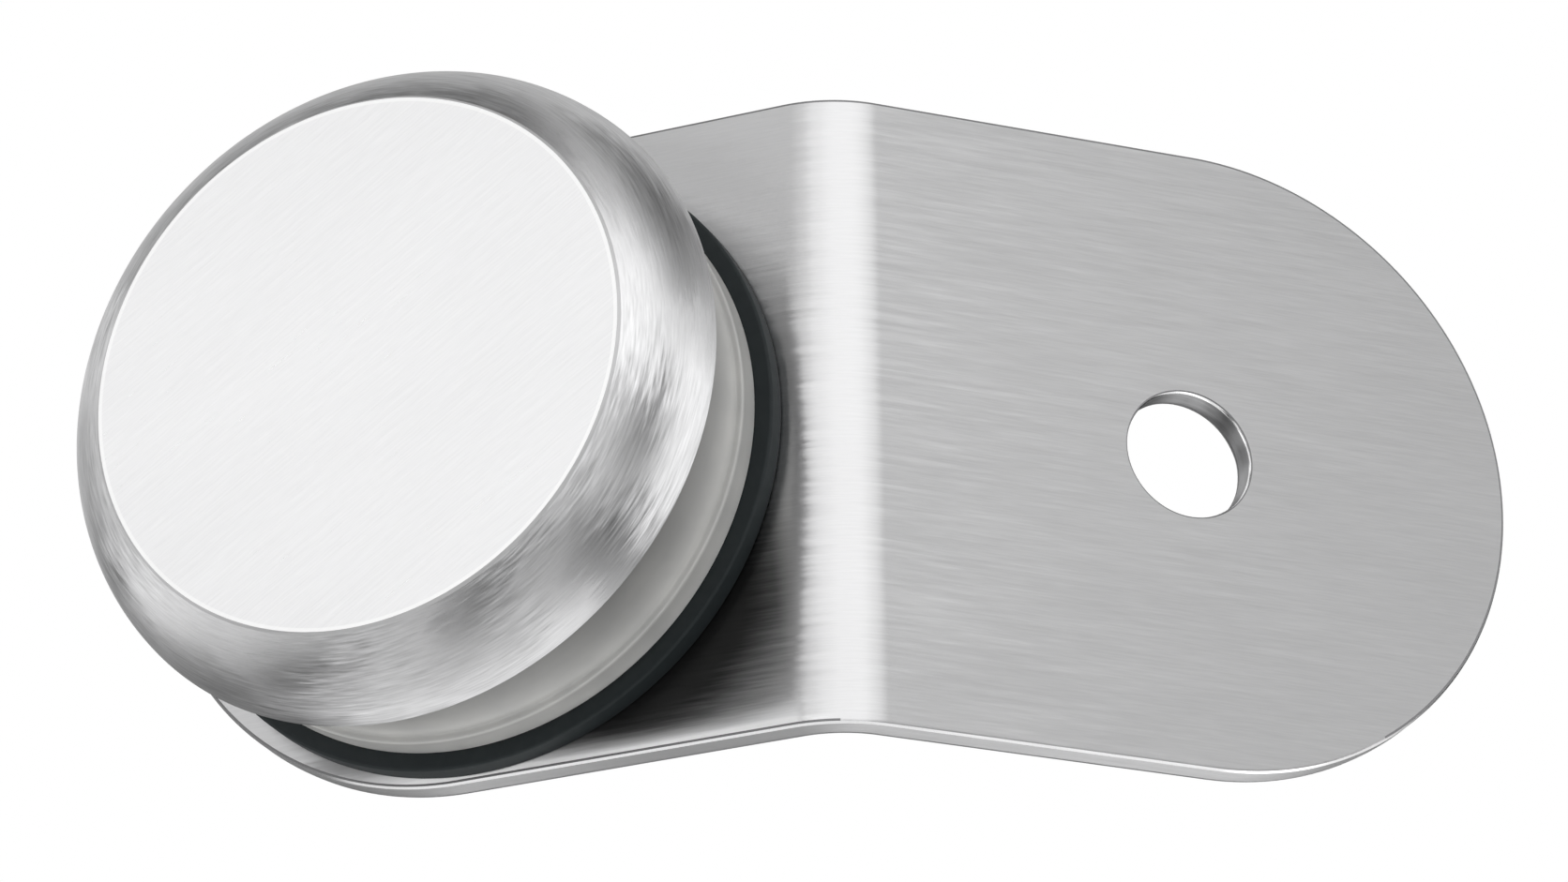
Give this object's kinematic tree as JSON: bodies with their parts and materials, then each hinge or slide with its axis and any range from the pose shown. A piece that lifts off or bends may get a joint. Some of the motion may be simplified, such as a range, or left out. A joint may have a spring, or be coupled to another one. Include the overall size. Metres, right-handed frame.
{
  "type": "glass bracket",
  "caption": "Bent stainless plate bracket: one wing is bolted to a post or jamb, the other holds a glass pane under a round clamp button.",
  "frame": {"origin": "centre of the fixing hole, on the back face of the fixing wing, which lies against the post or jamb", "axes": "+Z along the fold line, upright; -Y out of the front of the fixing wing along its hole; +X along the fixing wing, away from the fold; the glass wing turns back towards +Y on the -X side"},
  "size_m": [0.1257, 0.0601, 0.061],
  "materials": {
    "brushed_stainless_plate": "fine straight brushing along the plate's length",
    "turned_stainless_cap": "face brushed straight, shoulder brushed round the axis",
    "frosted_clear_plastic": "frosted, slightly translucent",
    "black_rubber": "matt",
    "stainless_fastener": "plain satin"
  },
  "bodies": {
    "root": {"bracket_plate": "brushed_stainless_plate", "clamp_cap": "turned_stainless_cap", "clear_collar": "frosted_clear_plastic", "black_gasket": "black_rubber", "screw_washer": "stainless_fastener", "clamp_screw": "stainless_fastener"}
  },
  "joints": []
}
